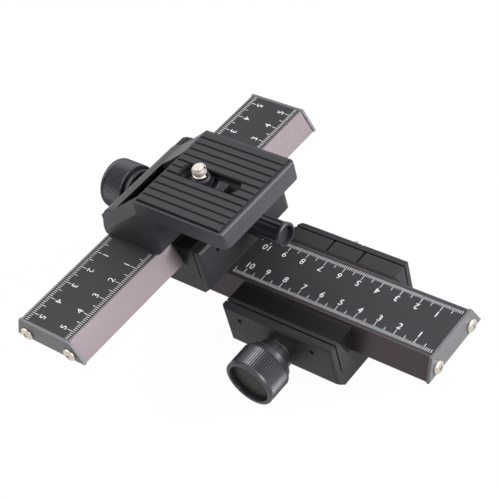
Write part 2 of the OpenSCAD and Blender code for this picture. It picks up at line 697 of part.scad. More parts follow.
module upper_block() {
    color(black) on_upper() difference() {
        block(1, [], 0, upper_lock_from - block_shift);
        for (p = upper_foot_bolts) translate([p.x, p.y, block_bottom - 1]) {
            cylinder(h = 30, d = m4_clear);
            translate([0, 0, floor_z - block_bottom + 1 - 2.3]) cylinder(h = 3, r1 = 1.9, r2 = 5);
        }
    }
}
module upper_foot() color(black) on_upper() foot(upper_foot_bolts, m4_clear, 0, false);
module upper_foot_screws() color(steel) on_upper() for (p = upper_foot_bolts)
    translate([p.x, p.y, floor_z - 0.3]) mirror([0, 0, 1]) sunk_screw(deck + floor_z - 0.3 + 7);
module upper_gib() color("#151517") on_upper() gib(1);
module upper_slide_strips() color(grey) on_upper() slide_strips();
module upper_gib_screws() color(grey) on_upper() gib_screws(1);
module upper_bush() color(steel) on_upper() in_block(1) bush();
module upper_lock_collar() color(steel) on_upper() in_block(1) lock_collar(0, 9);
module upper_shaft() color(steel) on_upper() in_block(1) drive_shaft();
module upper_pinion() color("#b08d4c") on_upper() pinion();
module upper_knob() color(black) on_upper() in_block(1) drive_knob();
module upper_knob_disc() color("#514c48") on_upper() in_block(1) knob_disc();
module upper_knob_grub() color(steel) on_upper() in_block(1) knob_grub();
module upper_lock_stud() color(steel) on_upper() in_block(1) upper_lock_rod();
module upper_lock_knob() color(black) on_upper() in_block(1) lock_knob();
module upper_rail() color("#5c5258") on_upper() rail(upper_rail_x, upper_rail_bolts);
module upper_scale() color("#303033") on_upper() scale_strip(upper_rail_x, upper_rail_bolts);
module upper_rack() color("#b08d4c") on_upper() rack(upper_rail_x);
module upper_cap_near() color(grey) on_upper() cap(upper_rail_x, 1);
module upper_cap_far() color(grey) on_upper() cap(upper_rail_x, -1);
module upper_cap_screws() color(steel) on_upper() cap_screws(upper_rail_x);

lower_block();
lower_foot();
lower_foot_screws();
lower_gib();
lower_slide_strips();
lower_gib_screws();
lower_bush();
lower_lock_collar();
lower_shaft();
lower_pinion();
lower_knob();
lower_knob_disc();
lower_knob_grub();
lower_lock_screw();
lower_rail();
lower_scale();
lower_rack();
lower_cap_front();
lower_cap_rear();
lower_cap_screws();
upper_block();
upper_foot();
upper_foot_screws();
upper_gib();
upper_slide_strips();
upper_gib_screws();
upper_bush();
upper_lock_collar();
upper_shaft();
upper_pinion();
upper_knob();
upper_knob_disc();
upper_knob_grub();
upper_lock_stud();
upper_lock_knob();
upper_rail();
upper_scale();
upper_rack();
upper_cap_near();
upper_cap_far();
upper_cap_screws();
color(black) platform();
color(grey) on_platform() platform_bolts();
color("#2f2f31") on_platform() pad();
color(black) on_platform() screw_carrier();
color(steel) on_platform() carrier_clip();
color(steel) on_platform() camera_screw();
color(black) on_platform() screw_wheel();
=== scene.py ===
import json
import math
import bmesh
import bpy
from mathutils import Matrix, Vector


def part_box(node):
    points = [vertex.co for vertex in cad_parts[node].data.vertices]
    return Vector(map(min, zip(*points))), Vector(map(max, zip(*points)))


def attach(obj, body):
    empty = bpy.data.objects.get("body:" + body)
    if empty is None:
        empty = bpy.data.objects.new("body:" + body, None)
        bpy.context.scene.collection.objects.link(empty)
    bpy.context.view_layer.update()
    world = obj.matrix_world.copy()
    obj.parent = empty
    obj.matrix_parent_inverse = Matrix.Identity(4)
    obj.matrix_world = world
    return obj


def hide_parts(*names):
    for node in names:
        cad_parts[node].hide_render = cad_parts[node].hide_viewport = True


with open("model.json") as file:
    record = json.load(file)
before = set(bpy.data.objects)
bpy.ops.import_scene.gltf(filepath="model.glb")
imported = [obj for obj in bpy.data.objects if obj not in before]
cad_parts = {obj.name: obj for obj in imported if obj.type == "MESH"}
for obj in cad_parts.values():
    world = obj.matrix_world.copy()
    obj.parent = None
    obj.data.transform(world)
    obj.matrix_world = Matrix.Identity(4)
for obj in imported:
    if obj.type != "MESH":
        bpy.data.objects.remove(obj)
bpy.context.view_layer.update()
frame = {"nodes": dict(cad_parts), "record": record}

# %% [markdown]
# ## A two-axis macro focusing rail
# The object is two dovetail rails, crossed one above the other, each held in a die-cast
# carriage with a rack-and-pinion knob. The imported model already holds every part at its
# real size, in metres, with the tripod thread at the origin. This script only dresses it:
# it rounds edges, knurls knobs, prints scales, and gives every surface its finish.

# %% What the frame holds
nodes = frame["nodes"]
body_of = {n: b for b, names in frame["record"]["behaviour"]["bodies"].items() for n in names}
slot_of = {s["node"]: s["material_slot"] for s in frame["record"]["subparts"]}

# %% [markdown]
# ## Small tools
# Sizes read best in millimetres, while Blender works in metres, so lengths are multiplied
# by one constant. Colours are picked as sRGB hex values, as a paint chip would be, and the
# shader wants linear light, so one function turns one into the other. A second one adds a
# node to any tree, with its settings and links, because every material and every Geometry
# Nodes tree is built that way.

# %% Units, colours and nodes
MM = 0.001


def linear(hex_colour):
    """An sRGB hex colour as linear RGBA."""
    values = [int(hex_colour[i:i + 2], 16) / 255 for i in (1, 3, 5)]
    return [v / 12.92 if v <= 0.04045 else ((v + 0.055) / 1.055) ** 2.4 for v in values] + [1]


def add(tree, kind, inputs=None, **settings):
    """A new node. inputs maps a socket's name or number to a value, or to a socket to link."""
    node = tree.nodes.new(kind)
    for key, value in settings.items():
        setattr(node, key, value)
    for key, value in (inputs or {}).items():
        if isinstance(value, bpy.types.NodeSocket):
            tree.links.new(value, node.inputs[key])
        else:
            node.inputs[key].default_value = value
    return node


print("white is", [round(v, 3) for v in linear("#ffffff")])

# %% [markdown]
# ## Finishes
# Nearly everything here is black, yet no two blacks are alike: satin paint on a casting,
# dyed anodising on turned or drawn aluminium, and rubber. What tells them apart is how
# sharp their highlights are and what the surface does at half a millimetre, so each
# material gets its own roughness and its own relief. All patterns read Object
# coordinates, which are metres in the model's frame, so a scale is one over a real size.

# %% One recipe that all finishes share
CLOUD_MM = 9           # width of the faint clouds in a colour
RELIEF_MM = 0.05       # depth of the relief at full strength


def finish(name, colour, roughness, metallic=0.0, grain_mm=0.4, relief=0.1, spread=0.08,
           tone=0.12, stretch=(1, 1, 1), specular=0.5):
    """A surface whose colour, roughness and relief all vary over grains of a real size.
    stretch makes the grain longer along an axis where it is below 1."""
    material = bpy.data.materials.new(name)
    material.use_nodes = True
    tree = material.node_tree
    shader = tree.nodes["Principled BSDF"]
    shader.inputs["Metallic"].default_value = metallic
    shader.inputs["Specular IOR Level"].default_value = specular
    place = add(tree, "ShaderNodeTexCoord")
    mapped = add(tree, "ShaderNodeMapping", {"Vector": place.outputs["Object"], "Scale": stretch})
    fine = add(tree, "ShaderNodeTexNoise",
               {"Vector": mapped.outputs[0], "Scale": 1 / (grain_mm * MM), "Detail": 3.0,
                "Roughness": 0.6})
    broad = add(tree, "ShaderNodeTexNoise",
                {"Vector": mapped.outputs[0], "Scale": 1 / (CLOUD_MM * MM), "Detail": 2.0})
    dark = linear(colour)
    low = [c * (1 - tone) for c in dark[:3]] + [1]
    high = [c * (1 + tone) for c in dark[:3]] + [1]
    colours = add(tree, "ShaderNodeMix", {0: broad.outputs["Fac"], 6: low, 7: high},
                  data_type="RGBA")
    tree.links.new(colours.outputs[2], shader.inputs["Base Color"])
    rough = add(tree, "ShaderNodeMapRange", {"Value": fine.outputs["Fac"],
                                             "To Min": roughness - spread,
                                             "To Max": roughness + spread})
    tree.links.new(rough.outputs[0], shader.inputs["Roughness"])
    bump = add(tree, "ShaderNodeBump", {"Height": fine.outputs["Fac"], "Strength": relief,
                                        "Distance": RELIEF_MM * MM})
    tree.links.new(bump.outputs[0], shader.inputs["Normal"])
    return material


# %% [markdown]
# The castings are painted black, and the platform's coat is a lighter copy of the carriages'
# paint, as painted light that makes it look better lit. Powder and stoved paint flow into a
# faint orange peel with dimples a few tenths of a millimetre wide, and the highlight spreads
# over them. The rails are drawn aluminium, anodised in a grey that leans to mauve: drawing
# leaves lines along the bar, so their grain is stretched forty times along its length. The
# same holds for the turned knobs, whose lines run round and are too fine to see, so only a
# slight unevenness is left. The two rails share one finish in two colours, as painted light
# and shade: the upper rail's copy is lighter, for its flank that faces the light, and the
# lower rail's copy is darker. The end plates are black anodised, and their grey is a painted
# sheen of the light they reflect.

# %% The finishes
satin_paint = finish("satin_black_paint_on_carriages", "#27272a", 0.46, grain_mm=0.35,
                     relief=0.22, specular=0.2)
# Painted light: a lighter copy of the carriages' black paint, so that the platform looks better
# lit.
platform_paint_painted_light = finish("satin_black_paint_on_platform_painted_light", "#36363b", 0.44, grain_mm=0.35,
                        relief=0.22, specular=0.25)
gib_black = finish("dull_black_slide_bar", "#0c0c0e", 0.5, grain_mm=0.3, relief=0.12,
                   specular=0.15)
# Painted light and shade: one rail finish in two colours, darker on the lower rail (x), lighter on
# the upper rail (y).
drawn_x_painted_shade = finish("drawn_anodised_aluminium_x_painted_shade", "#40373c", 0.3, metallic=0.5, grain_mm=0.35,
                 relief=0.4, stretch=(0.025, 1, 1))
drawn_y_painted_light = finish("drawn_anodised_aluminium_y_painted_light", "#6d6368", 0.4, metallic=0.7, grain_mm=0.35,
                 relief=0.4, stretch=(1, 0.025, 1))
matt_strip = finish("matt_black_anodised_strip", "#2a2a2d", 0.55, grain_mm=0.2, relief=0.06,
                    spread=0.05, specular=0.2)
# Painted sheen: the black anodised end plates are coloured grey for the light they reflect.
end_plate_painted_sheen = finish("black_anodised_end_plate_painted_sheen", "#636366", 0.4, metallic=0.4, grain_mm=0.2,
                    relief=0.08, specular=0.3)
turned_black = finish("black_anodised_turned_aluminium", "#303036", 0.36, metallic=0.25,
                      grain_mm=0.25, relief=0.08, specular=0.4)
cup_disc = finish("grey_brown_anodised_disc", "#34312e", 0.5, metallic=0.3, grain_mm=0.2,
                  specular=0.2)
nickel = finish("nickel_plated_steel", "#cfc6bb", 0.3, metallic=1.0, grain_mm=0.2,
                relief=0.05, spread=0.06)
black_oxide = finish("black_oxide_steel", "#101012", 0.45, metallic=0.2, grain_mm=0.2,
                     relief=0.06, specular=0.2)
screw_steel = finish("rolled_thread_steel", "#bfb7b4", 0.48, metallic=0.8, grain_mm=0.2,
                     relief=0.08)
brass = finish("machined_brass", "#b08d4c", 0.3, metallic=1.0, grain_mm=0.2, relief=0.05)
acetal = finish("dull_black_acetal", "#131315", 0.5, relief=0.05, specular=0.2)
pad_rubber = finish("moulded_matt_rubber", "#2b2b2e", 0.6, grain_mm=0.25, relief=0.3,
                    tone=0.08, specular=0.25)
scale_white = finish("white_filled_engraving", "#d2d2d6", 0.6, grain_mm=0.2, relief=0.05,
                     tone=0.05)
FINISH = {"cast_black": satin_paint, "gib_black": gib_black, "slide_plastic": acetal,
          "bright_steel": nickel, "dark_steel": black_oxide, "brass": brass,
          "anodised_black": turned_black, "knob_disc": cup_disc, "anodised_rail": drawn_x_painted_shade,
          "scale_strip": matt_strip, "cap_plate": end_plate_painted_sheen, "pad_rubber": pad_rubber}
# Parts whose finish differs from their slot's. The upper rail and the platform get lighter copies,
# as painted light.
OWN_FINISH = {"upper_rail": drawn_y_painted_light, "platform": platform_paint_painted_light,
              "carrier_clip": black_oxide, "screw_wheel": black_oxide,
              "lower_gib_screws": gib_black, "upper_gib_screws": gib_black}
for name, node in nodes.items():
    node.data.materials.clear()
    node.data.materials.append(OWN_FINISH.get(name, FINISH[slot_of[name]]))
print("finishes", len(bpy.data.materials))

# %% [markdown]
# ## Rounding the castings
# No real edge is perfectly sharp: paint and tumbling leave a radius, and it is that radius
# that catches the light and draws a thin bright line round every part. The solids have
# true faces but razor edges, so each visible part is copied, its loose triangles are merged
# into clean faces, and a Bevel modifier rounds what is steeper than 30 degrees. Three rear
# corners of the carriages are rounder still, so a cutter takes those off first.

# %% Copy a part and round its edges
WELD_MM = 0.002        # points closer than this are one
FLAT_DEG = 0.6         # faces that differ by less are one
EDGE_DEG = 30          # edges steeper than this are rounded


def settle(obj, body, slot, *replaced):
    """Ends a piece: it rides on its body and stands for CAD nodes, which it hides. slot is not
    used.
    """
    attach(obj, body)
    if replaced:
        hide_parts(*replaced)
    return obj


def shade(mesh, angle=32):
    """Smooth shading, with the edges steeper than angle kept sharp."""
    mesh.shade_smooth()
    mesh.set_sharp_from_angle(angle=math.radians(angle))


def cut(obj, cutters):
    """Takes each cutter mesh out of obj, for good."""
    for mesh in cutters:
        cutter = bpy.data.objects.new("cutter", mesh)
        bpy.context.scene.collection.objects.link(cutter)
        modifier = obj.modifiers.new("cut", "BOOLEAN")
        modifier.object = cutter
        modifier.solver = "EXACT"
        graph = bpy.context.evaluated_depsgraph_get()
        result = bpy.data.meshes.new_from_object(obj.evaluated_get(graph))
        obj.modifiers.remove(modifier)
        obj.data = result
        bpy.data.objects.remove(cutter)
    return obj


def round_corner(node, side_x, side_y, radius_mm):
    """What a radius takes off one upright corner of a node's box, as a cutter."""
    low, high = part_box(node)
    radius, beyond = radius_mm * MM, 1 * MM
    at = Vector((high.x if side_x > 0 else low.x, high.y if side_y > 0 else low.y))
    centre = at - Vector((side_x, side_y)) * radius
    outside = at + Vector((side_x, side_y)) * beyond
    steps = 10
    rim = [outside, Vector((outside.x, centre.y))]
    rim += [centre + Vector((side_x * math.cos(a), side_y * math.sin(a))) * radius
            for a in (math.pi / 2 * i / steps for i in range(steps + 1))]
    rim.append(Vector((centre.x, outside.y)))
    work = bmesh.new()
    face = work.faces.new([work.verts.new((v.x, v.y, low.z - beyond)) for v in rim])
    grown = bmesh.ops.extrude_face_region(work, geom=[face])["geom"]
    rise = Vector((0, 0, high.z - low.z + 2 * beyond))
    raised = [item for item in grown if isinstance(item, bmesh.types.BMVert)]
    bmesh.ops.translate(work, verts=raised, vec=rise)
    bmesh.ops.recalc_face_normals(work, faces=work.faces)
    mesh = bpy.data.meshes.new("corner")
    work.to_mesh(mesh)
    work.free()
    return mesh


def dress(node, radius_mm, segments=2, cutters=()):
    """A copy of a CAD node, less the cutters, with its edges rounded to radius_mm."""
    mesh = nodes[node].data.copy()
    work = bmesh.new()
    work.from_mesh(mesh)
    bmesh.ops.remove_doubles(work, verts=work.verts, dist=WELD_MM * MM)
    bmesh.ops.dissolve_limit(work, angle_limit=math.radians(FLAT_DEG), verts=work.verts,
                             edges=work.edges)
    work.to_mesh(mesh)
    work.free()
    obj = bpy.data.objects.new(f"{node}_shell", mesh)
    bpy.context.scene.collection.objects.link(obj)
    cut(obj, cutters)
    shade(obj.data)
    bevel = obj.modifiers.new("edge", "BEVEL")
    bevel.width = radius_mm * MM
    bevel.segments = segments
    bevel.limit_method = "ANGLE"
    bevel.angle_limit = math.radians(EDGE_DEG)
    bevel.use_clamp_overlap = True
    bevel.harden_normals = True
    return settle(obj, body_of[node], slot_of[node], node)


# %% Every part whose edges show
EDGE_MM = {"foot": 0.5, "gib": 0.15, "rail": 0.2, "bush": 0.2, "lock_collar": 0.2,
           "knob_disc": 0.1}
for carriage in ("lower", "upper"):
    for part, radius in EDGE_MM.items():
        dress(f"{carriage}_{part}", radius)
REAR_CORNER_MM = 4.5
dress("lower_block", 0.4, cutters=[round_corner("lower_block", -1, 1, REAR_CORNER_MM)])
dress("upper_block", 0.4, cutters=[round_corner("upper_block", side, 1, REAR_CORNER_MM)
                                   for side in (-1, 1)])
for cap in ("lower_cap_front", "lower_cap_rear", "upper_cap_near", "upper_cap_far"):
    dress(cap, 0.2)
dress("platform", 0.9, 3)
dress("pad", 0.22)
dress("upper_lock_knob", 0.15)
dress("lower_lock_screw", 0.2)
dress("screw_wheel", 0.2)

# %% [markdown]
# ## Geometry Nodes, set up once
# Ticks, ridges, screws and threads repeat by a rule, which is what Geometry Nodes are for.
# A tree gets named inputs, so that one tree makes every scale or every knob. Its result is
# turned into a plain mesh at once, and the modifier goes, because the finished piece has to
# stand without it.

# %% Build a tree and grow a piece with it
def new_tree(name, inputs):
    """An empty Geometry Nodes tree with named inputs and one geometry output."""
    tree = bpy.data.node_groups.new(name, "GeometryNodeTree")
    tree.interface.new_socket("Geometry", in_out="INPUT", socket_type="NodeSocketGeometry")
    for label, kind in inputs.items():
        tree.interface.new_socket(label, in_out="INPUT", socket_type=f"NodeSocket{kind}")
    tree.interface.new_socket("Geometry", in_out="OUTPUT", socket_type="NodeSocketGeometry")
    return tree, tree.nodes.new("NodeGroupInput").outputs


def end_tree(tree, geometry, material):
    """Realize Instances and Set Material, which every tree ends in."""
    real = add(tree, "GeometryNodeRealizeInstances", {0: geometry})
    done = add(tree, "GeometryNodeSetMaterial", {0: real.outputs[0], "Material": material})
    add(tree, "NodeGroupOutput", {0: done.outputs[0]})


def grow(name, tree, values, base=None, place=Matrix.Identity(4)):
    """Runs a tree on a base mesh and returns its result as a plain mesh object, put in place."""
    seed = bpy.data.objects.new("seed", base or bpy.data.meshes.new("seed"))
    bpy.context.scene.collection.objects.link(seed)
    modifier = seed.modifiers.new("grow", "NODES")
    modifier.node_group = tree
    for item in tree.interface.items_tree:
        if item.in_out == "INPUT" and item.name in values:
            modifier[item.identifier] = values[item.name]
    graph = bpy.context.evaluated_depsgraph_get()
    mesh = bpy.data.meshes.new_from_object(seed.evaluated_get(graph))
    bpy.data.objects.remove(seed)
    mesh.transform(place)
    shade(mesh)
    piece = bpy.data.objects.new(name, mesh)
    bpy.context.scene.collection.objects.link(piece)
    print(name, len(mesh.vertices), "vertices")
    return piece


# %% [markdown]
# ## The scales
# Each rail carries a millimetre scale along both edges of its black strip: short ticks,
# longer ones at each half centimetre and centimetre, and digits. On the real strip they are
# engraved and filled with white. Here a tick is a box a hundredth of a millimetre proud,
# placed once for each millimetre, and its length is chosen by its number in the row, which
# counts from one, because no tick stands at zero.

# %% The tree for a row of ticks
ticks, given = new_tree("scale_ticks", {"Count": "Int", "Step": "Vector", "Inward": "Float",
                                        "Short": "Float", "Half": "Float", "Long": "Float",
                                        "Line": "Float", "Material": "Material"})
row = add(ticks, "GeometryNodeMeshLine", {"Count": given["Count"], "Offset": given["Step"]})
index = add(ticks, "GeometryNodeInputIndex").outputs[0]
number = add(ticks, "ShaderNodeMath", {0: index, 1: 1.0}, operation="ADD").outputs[0]


def falls_on(tree, every):
    """True where the tick's number is a multiple of every."""
    rest = add(tree, "ShaderNodeMath", {0: number, 1: every}, operation="MODULO")
    return add(tree, "FunctionNodeCompare", {0: rest.outputs[0], 1: 0.0},
               operation="LESS_EQUAL").outputs[0]


half_or_short = add(ticks, "GeometryNodeSwitch",
                    {0: falls_on(ticks, 5.0), "False": given["Short"], "True": given["Half"]},
                    input_type="FLOAT")
reach = add(ticks, "GeometryNodeSwitch",
            {0: falls_on(ticks, 10.0), "False": half_or_short.outputs[0], "True": given["Long"]},
            input_type="FLOAT")
box_size = add(ticks, "ShaderNodeCombineXYZ", {0: given["Line"], 1: 1.0, 2: 0.02 * MM})
bar = add(ticks, "GeometryNodeMeshCube", {"Size": box_size.outputs[0]})
shifted = add(ticks, "GeometryNodeTransform", {0: bar.outputs[0], "Translation": (0, 0.5, 0)})
signed = add(ticks, "ShaderNodeMath", {0: reach.outputs[0], 1: given["Inward"]},
             operation="MULTIPLY")
stretch = add(ticks, "ShaderNodeCombineXYZ", {0: 1.0, 1: signed.outputs[0], 2: 1.0})
placed = add(ticks, "GeometryNodeInstanceOnPoints", {"Points": row.outputs[0],
                                                     "Instance": shifted.outputs[0],
                                                     "Scale": stretch.outputs[0]})
end_tree(ticks, placed.outputs[0], given["Material"])

# %% Rows of ticks and their digits
OUTER_MM = 12.7        # where the ticks start, from the rail's middle
SHORT_MM, HALF_MM, LONG_MM = 1.7, 3.4, 4.2
LINE_MM = 0.24
DIGIT_MM = 3.3         # height of a digit
CAPITAL_SHARE = 0.72   # of the font's size that a digit fills
DIGIT_BASE_MM = 7.8    # where a digit's foot is, from the rail's middle


def digit_mesh(text, turn, at):
    """One number as a thin mesh, turned about Z and put where its foot's middle goes."""
    curve = bpy.data.curves.new("digit", "FONT")
    curve.body = text
    curve.align_x = "CENTER"
    curve.size = DIGIT_MM * MM / CAPITAL_SHARE
    curve.extrude = 0.01 * MM
    curve.resolution_u = 3
    glyph = bpy.data.objects.new("digit", curve)
    bpy.context.scene.collection.objects.link(glyph)
    graph = bpy.context.evaluated_depsgraph_get()
    mesh = bpy.data.meshes.new_from_object(glyph.evaluated_get(graph))
    bpy.data.objects.remove(glyph)
    mesh.transform(Matrix.Translation(at) @ Matrix.Rotation(math.radians(turn), 4, "Z"))
    mesh.materials.clear()
    mesh.materials.append(scale_white)
    return mesh


def joined(name, meshes):
    """Several meshes as one object."""
    work = bmesh.new()
    for mesh in meshes:
        work.from_mesh(mesh)
    whole = bpy.data.meshes.new(name)
    work.to_mesh(whole)
    work.free()
    whole.materials.append(scale_white)
    obj = bpy.data.objects.new(name, whole)
    bpy.context.scene.collection.objects.link(obj)
    return obj


def scale_row(start, along, middle, millimetres, digits, top, turn_z):
    """Ticks and digits on both edges of a strip. The scale runs from start in direction along
    (1 or -1), in a frame turned by turn_z about Z with its y = 0 on the rail's middle."""
    frame_turn = Matrix.Translation(middle) @ Matrix.Rotation(math.radians(turn_z), 4, "Z")
    made = []
    for edge in (-1, 1):
        first = Matrix.Translation((start + along * MM, edge * OUTER_MM * MM, top))
        piece = grow("row", ticks, {"Count": millimetres, "Step": (along * MM, 0, 0),
                                    "Inward": -edge, "Short": SHORT_MM * MM,
                                    "Half": HALF_MM * MM, "Long": LONG_MM * MM,
                                    "Line": LINE_MM * MM, "Material": scale_white},
                     place=frame_turn @ first)
        made.append(piece.data)
        bpy.data.objects.remove(piece)
        for cm in range(1, digits + 1):
            at = Vector((start + along * cm * 10 * MM, edge * DIGIT_BASE_MM * MM, top))
            glyph = digit_mesh(str(cm), 0 if edge < 0 else 180, at)
            glyph.transform(frame_turn)
            made.append(glyph)
    return made


# %% The lower scale counts back from the front end, the upper one out from the platform
rail_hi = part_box("lower_rail")[1]
lower_marks = joined("lower_scale_marks",
                     scale_row(rail_hi.x - 0.1 * MM, -1, (0, 0, 0), 105, 10, rail_hi.z, 0))
settle(lower_marks, "rail_lower", "scale_strip")
up_lo, up_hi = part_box("upper_rail")
up_middle = ((up_lo.x + up_hi.x) / 2, (up_lo.y + up_hi.y) / 2, 0)
plat_lo, plat_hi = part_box("platform")
zero = (plat_hi.y - plat_lo.y) / 2
upper_marks = joined("upper_scale_marks",
                     scale_row(zero, 1, up_middle, 54, 5, up_hi.z, -90)
                     + scale_row(-zero, -1, up_middle, 54, 5, up_hi.z, -90))
settle(upper_marks, "rail_upper", "scale_strip")
print("marks", len(lower_marks.data.polygons) + len(upper_marks.data.polygons), "faces")

# %% [markdown]
# ## Turned parts
# Knobs are turned on a lathe, so they are made as a lathe makes them: a profile is swept
# round an axis. The barrel is then knurled with fine straight ridges. One ridge is a four
# sided bar with an edge pointing out, and Geometry Nodes stand 68 of them round the
# barrel. Modelled ridges break up the highlight as the real ones do, which a bump can't.

# %% A lathe
def lathe(profile_mm, steps=96, material=None):
    """A solid turned about Z from (radius, height) points in millimetres, closed at the axis."""
    work = bmesh.new()
    rings = []
    for radius, height in profile_mm:
        if radius == 0:
            rings.append([work.verts.new((0, 0, height * MM))])
            continue
        rings.append([work.verts.new((radius * MM * math.cos(a), radius * MM * math.sin(a),
                                      height * MM))
                      for a in (2 * math.pi * i / steps for i in range(steps))])
    for low, high in zip(rings, rings[1:]):
        for i in range(steps):
            j = (i + 1) % steps
            corners = [low[i % len(low)], low[j % len(low)],
                       high[j % len(high)], high[i % len(high)]]
            work.faces.new(dict.fromkeys(corners))
    bmesh.ops.recalc_face_normals(work, faces=work.faces)
    mesh = bpy.data.meshes.new("turned")
    work.to_mesh(mesh)
    work.free()
    if material:
        mesh.materials.append(material)
    return mesh


# %% The tree that knurls a barrel
knurl, given = new_tree("straight_knurl", {"Ridges": "Int", "Radius": "Float", "Low": "Float",
                                           "Length": "Float", "Width": "Float",
                                           "Material": "Material"})
ring = add(knurl, "GeometryNodeMeshCircle", {"Vertices": given["Ridges"],
                                             "Radius": given["Radius"]})
outward = add(knurl, "FunctionNodeAlignRotationToVector",
              {"Vector": add(knurl, "GeometryNodeInputPosition").outputs[0]}, axis="X")
ridge = add(knurl, "GeometryNodeMeshCylinder", {"Vertices": 4, "Radius": given["Width"],
                                                "Depth": given["Length"]})
stood = add(knurl, "GeometryNodeInstanceOnPoints", {"Points": ring.outputs[0],
                                                    "Instance": ridge.outputs[0],
                                                    "Rotation": outward.outputs[0]})
raised = add(knurl, "ShaderNodeCombineXYZ", {2: given["Low"]})
moved = add(knurl, "GeometryNodeTransform", {0: stood.outputs[0], "Translation": raised.outputs[0]})
both = add(knurl, "GeometryNodeJoinGeometry", {0: given["Geometry"]})
knurl.links.new(moved.outputs[0], both.inputs[0])
end_tree(knurl, both.outputs[0], given["Material"])

# %% The drive knobs
RIDGES = 68
BARREL_MM = 13.1       # length of the wide barrel
HUB_MM, NECK_MM = 8.0, 10.3            # radii behind the barrel
CUP_MM, CUP_DEPTH_MM = 10.0, 3.0       # radius and depth of the cup in its face
KNURL_MM = 0.5         # depth of the knurling


def drive_knob(carriage, turn, axis_at):
    """A cup-faced knob, drawn with its back at z = 0, then turned to point out of its carriage."""
    low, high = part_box(f"{carriage}_knob")
    length = min(high - low) / MM
    radius = (high.z - low.z) / 2 / MM
    barrel = length - BARREL_MM
    hub, neck, cup, floor_at = HUB_MM, NECK_MM, CUP_MM, length - CUP_DEPTH_MM
    valley = radius - KNURL_MM
    profile = [(0, 0), (hub - 0.3, 0), (hub, 0.3), (hub, 4), (neck - 0.3, 4.3), (neck, 4.7),
               (neck, barrel), (radius - 0.8, barrel), (radius - 0.2, barrel + 0.25),
               (radius, barrel + 0.8), (radius, barrel + 1.1), (valley, barrel + 1.5),
               (valley, length - 1.9), (radius, length - 1.5), (radius, length - 0.6),
               (radius - 0.2, length - 0.15), (radius - 0.7, length), (cup + 0.5, length),
               (cup + 0.12, length - 0.15), (cup, length - 0.5), (cup, floor_at), (0, floor_at)]
    piece = grow(f"{carriage}_knob_turned", knurl,
                 {"Ridges": RIDGES, "Radius": (valley - 0.02) * MM, "Width": KNURL_MM * MM,
                  "Low": (barrel + length - 0.4) / 2 * MM,
                  "Length": (length - barrel - 2.6) * MM,
                  "Material": turned_black},
                 base=lathe(profile), place=Matrix.Translation(axis_at) @ turn)
    return settle(piece, f"drive_{carriage}", "anodised_black", f"{carriage}_knob")


low_knob, high_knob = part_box("lower_knob")
drive_knob("lower", Matrix.Rotation(math.radians(90), 4, "X"),
           (0, high_knob.y, (low_knob.z + high_knob.z) / 2))
low_knob, high_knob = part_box("upper_knob")
drive_knob("upper", Matrix.Rotation(math.radians(-90), 4, "Y"),
           (high_knob.x, (low_knob.y + high_knob.y) / 2, (low_knob.z + high_knob.z) / 2))

# %% [markdown]
# ## Screws
# The end plates are held by pan-head screws with a cross recess. One head is turned on the
# lathe and its cross is cut with a boolean, and Geometry Nodes set it on every point where a
# screw goes. Each point carries the turn that its screw needs as an attribute.

# %% The tree that sets an object on points
setter, given = new_tree("set_on_points", {"Thing": "Object", "Material": "Material"})
thing = add(setter, "GeometryNodeObjectInfo", {"Object": given["Thing"]})
turns = add(setter, "GeometryNodeInputNamedAttribute", {"Name": "turn"}, data_type="FLOAT_VECTOR")
turned = add(setter, "FunctionNodeEulerToRotation", {0: turns.outputs[0]})
put = add(setter, "GeometryNodeInstanceOnPoints", {"Points": given["Geometry"],
                                                   "Instance": thing.outputs["Geometry"],
                                                   "Rotation": turned.outputs[0]})
end_tree(setter, put.outputs[0], given["Material"])


def points_mesh(places):
    """Points with a turn each, from a list of (point, Euler angles)."""
    mesh = bpy.data.meshes.new("points")
    mesh.from_pydata([tuple(p) for p, _ in places], [], [])
    turn = mesh.attributes.new("turn", "FLOAT_VECTOR", "POINT")
    for i, (_, angles) in enumerate(places):
        turn.data[i].vector = angles
    return mesh


# %% A pan-head screw with a cross recess
def bar_mesh(size_mm, turn, at_mm):
    """A box as a cutter."""
    work = bmesh.new()
    bmesh.ops.create_cube(work, size=1.0)
    bmesh.ops.transform(work, matrix=Matrix.Translation(Vector(at_mm) * MM)
                        @ Matrix.Rotation(math.radians(turn), 4, "Z")
                        @ Matrix.Diagonal(Vector((*(v * MM for v in size_mm), 1))),
                        verts=work.verts)
    mesh = bpy.data.meshes.new("bar")
    work.to_mesh(mesh)
    work.free()
    return mesh


HEAD_R_MM, HEAD_TOP_MM = 3.1, 1.7
HEAD_MM = [(0, -1.0), (1.4, -1.0), (1.4, 0.02), (2.9, 0.02), (3.06, 0.12), (HEAD_R_MM, 0.4),
           (3.06, 0.8), (2.8, 1.15), (2.2, 1.45), (1.2, 1.64), (0, HEAD_TOP_MM)]
CROSS_MM = (2.6, 0.5, 2.2)             # one bar of the cross recess
head = bpy.data.objects.new("pan_head", lathe(HEAD_MM, 48, nickel))
bpy.context.scene.collection.objects.link(head)
cut(head, [bar_mesh(CROSS_MM, turn, (0, 0, 2.15)) for turn in (45, 135)])

